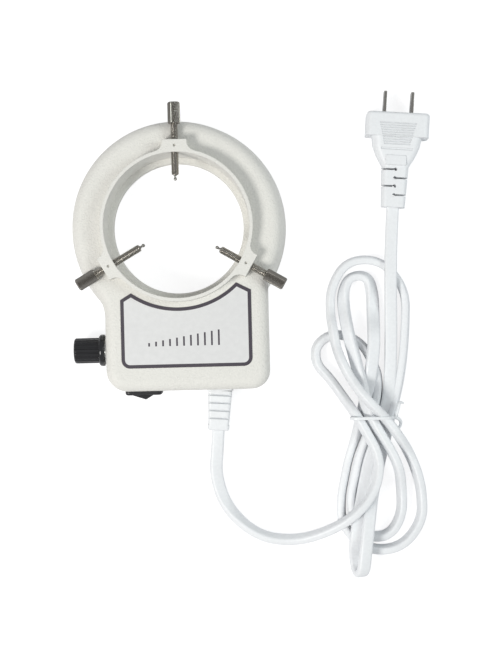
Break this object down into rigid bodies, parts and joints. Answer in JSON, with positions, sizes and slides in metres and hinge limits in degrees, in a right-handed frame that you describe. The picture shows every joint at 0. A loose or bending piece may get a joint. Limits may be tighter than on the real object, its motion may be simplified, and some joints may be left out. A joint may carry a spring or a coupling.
{
  "type": "microscope ring light",
  "caption": "Ring light for a stereo microscope: a cast ring with three rows of lamps, clamping thumbscrews, dimmer, rocker switch and a mains cord with its plug.",
  "frame": {"origin": "centre of the bore that goes over the objective, level with the underside of the ring", "axes": "+Z along the bore towards the thumbscrews, +Y away from the control box, +X to the right with the dimmer knob on the -X side"},
  "size_m": [0.1689, 0.2274, 0.028],
  "materials": {
    "housing": "fine sand-textured moulding",
    "lens": "clear, polished",
    "lamp_board": "white solder resist",
    "lamps": "clear lamp domes",
    "base": "satin",
    "screw_steel": "dark nickel plate",
    "bright_steel": "bright zinc plate",
    "brass_tip": "nickel-plated brass",
    "black_plastic": "satin",
    "label": "satin film",
    "cord": "soft satin PVC",
    "relief": "soft satin PVC",
    "tie": "satin coated wire",
    "plug": "satin PVC",
    "blades": "nickel-plated brass",
    "driver_green": "green solder resist",
    "components": "moulded resin",
    "aluminium_can": "sleeved can",
    "ferrite": "ground ferrite",
    "winding_tape": "yellow polyester tape",
    "fuse_glass": "glass tube with metal caps",
    "wire_red": "PVC insulation",
    "wire_black": "PVC insulation"
  },
  "bodies": {
    "housing": {"ring_housing": "housing", "lens_cover": "lens", "led_board": "lamp_board", "leds_inner": "lamps", "leds_middle": "lamps", "leds_outer": "lamps", "base_plate": "base", "base_plate_screws": "bright_steel", "label_plate": "label", "pot_body": "bright_steel", "pot_washer": "bright_steel", "pot_nut": "bright_steel", "switch_body": "black_plastic", "switch_terminals": "bright_steel", "strain_relief": "relief", "driver_board": "driver_green", "driver_board_screws": "bright_steel", "filter_capacitor": "aluminium_can", "transformer_core": "ferrite", "transformer_winding": "winding_tape", "driver_chip": "components", "bridge_rectifier": "components", "film_capacitor": "winding_tape", "inductor": "ferrite", "fuse": "fuse_glass", "led_wires": "wire_red", "pot_wires": "wire_black", "mains_wires": "wire_black", "cord_light_run": "cord", "cord_hank": "cord", "cord_plug_run": "cord", "hank_tie": "tie", "plug_body": "plug", "plug_blades": "blades"},
    "dimmer": {"dimmer_knob": "black_plastic", "pot_shaft": "bright_steel"},
    "rocker": {"switch_rocker": "black_plastic"},
    "pin_top": {"tip_pin_top": "brass_tip"},
    "screw_top": {"thumbscrew_top": "screw_steel"},
    "pin_left": {"tip_pin_left": "brass_tip"},
    "screw_left": {"thumbscrew_left": "screw_steel"},
    "pin_right": {"tip_pin_right": "brass_tip"},
    "screw_right": {"thumbscrew_right": "screw_steel"}
  },
  "joints": [
    {"name": "dimmer_turn", "type": "hinge", "parent": "housing", "child": "dimmer", "pos_m": [-0.0343, -0.0563, 0.011], "axis": [-1, 0, 0], "range_deg": [-150, 150]},
    {"name": "switch_rock", "type": "hinge", "parent": "housing", "child": "rocker", "pos_m": [-0.0175, -0.07338, 0.01], "axis": [0, 0, 1], "range_deg": [-9.2, 0]},
    {"name": "tip_travel_top", "type": "slide", "parent": "housing", "child": "pin_top", "axis": [0, 1, 0], "range_m": [-0.0056, 0.0114]},
    {"name": "screw_turn_top", "type": "hinge", "parent": "pin_top", "child": "screw_top", "pos_m": [0, 0.04, 0.0246], "axis": [0, 1, 0], "range_deg": [-2880, 5862.9]},
    {"name": "tip_travel_left", "type": "slide", "parent": "housing", "child": "pin_left", "axis": [-0.866, -0.5, 0], "range_m": [-0.0022, 0.0148]},
    {"name": "screw_turn_left", "type": "hinge", "parent": "pin_left", "child": "screw_left", "pos_m": [-0.03464, -0.02, 0.0246], "axis": [-0.866, -0.5, 0], "range_deg": [-1131.5, 7611.5]},
    {"name": "tip_travel_right", "type": "slide", "parent": "housing", "child": "pin_right", "axis": [0.866, -0.5, 0], "range_m": [-0.0056, 0.0114]},
    {"name": "screw_turn_right", "type": "hinge", "parent": "pin_right", "child": "screw_right", "pos_m": [0.03464, -0.02, 0.0246], "axis": [0.866, -0.5, 0], "range_deg": [-2880, 5862.9]}
  ],
  "couplings": [
    {"joint": "screw_turn_top", "follows": "tip_travel_top", "rad_per_m": 8976},
    {"joint": "screw_turn_left", "follows": "tip_travel_left", "rad_per_m": 8976},
    {"joint": "screw_turn_right", "follows": "tip_travel_right", "rad_per_m": 8976}
  ]
}
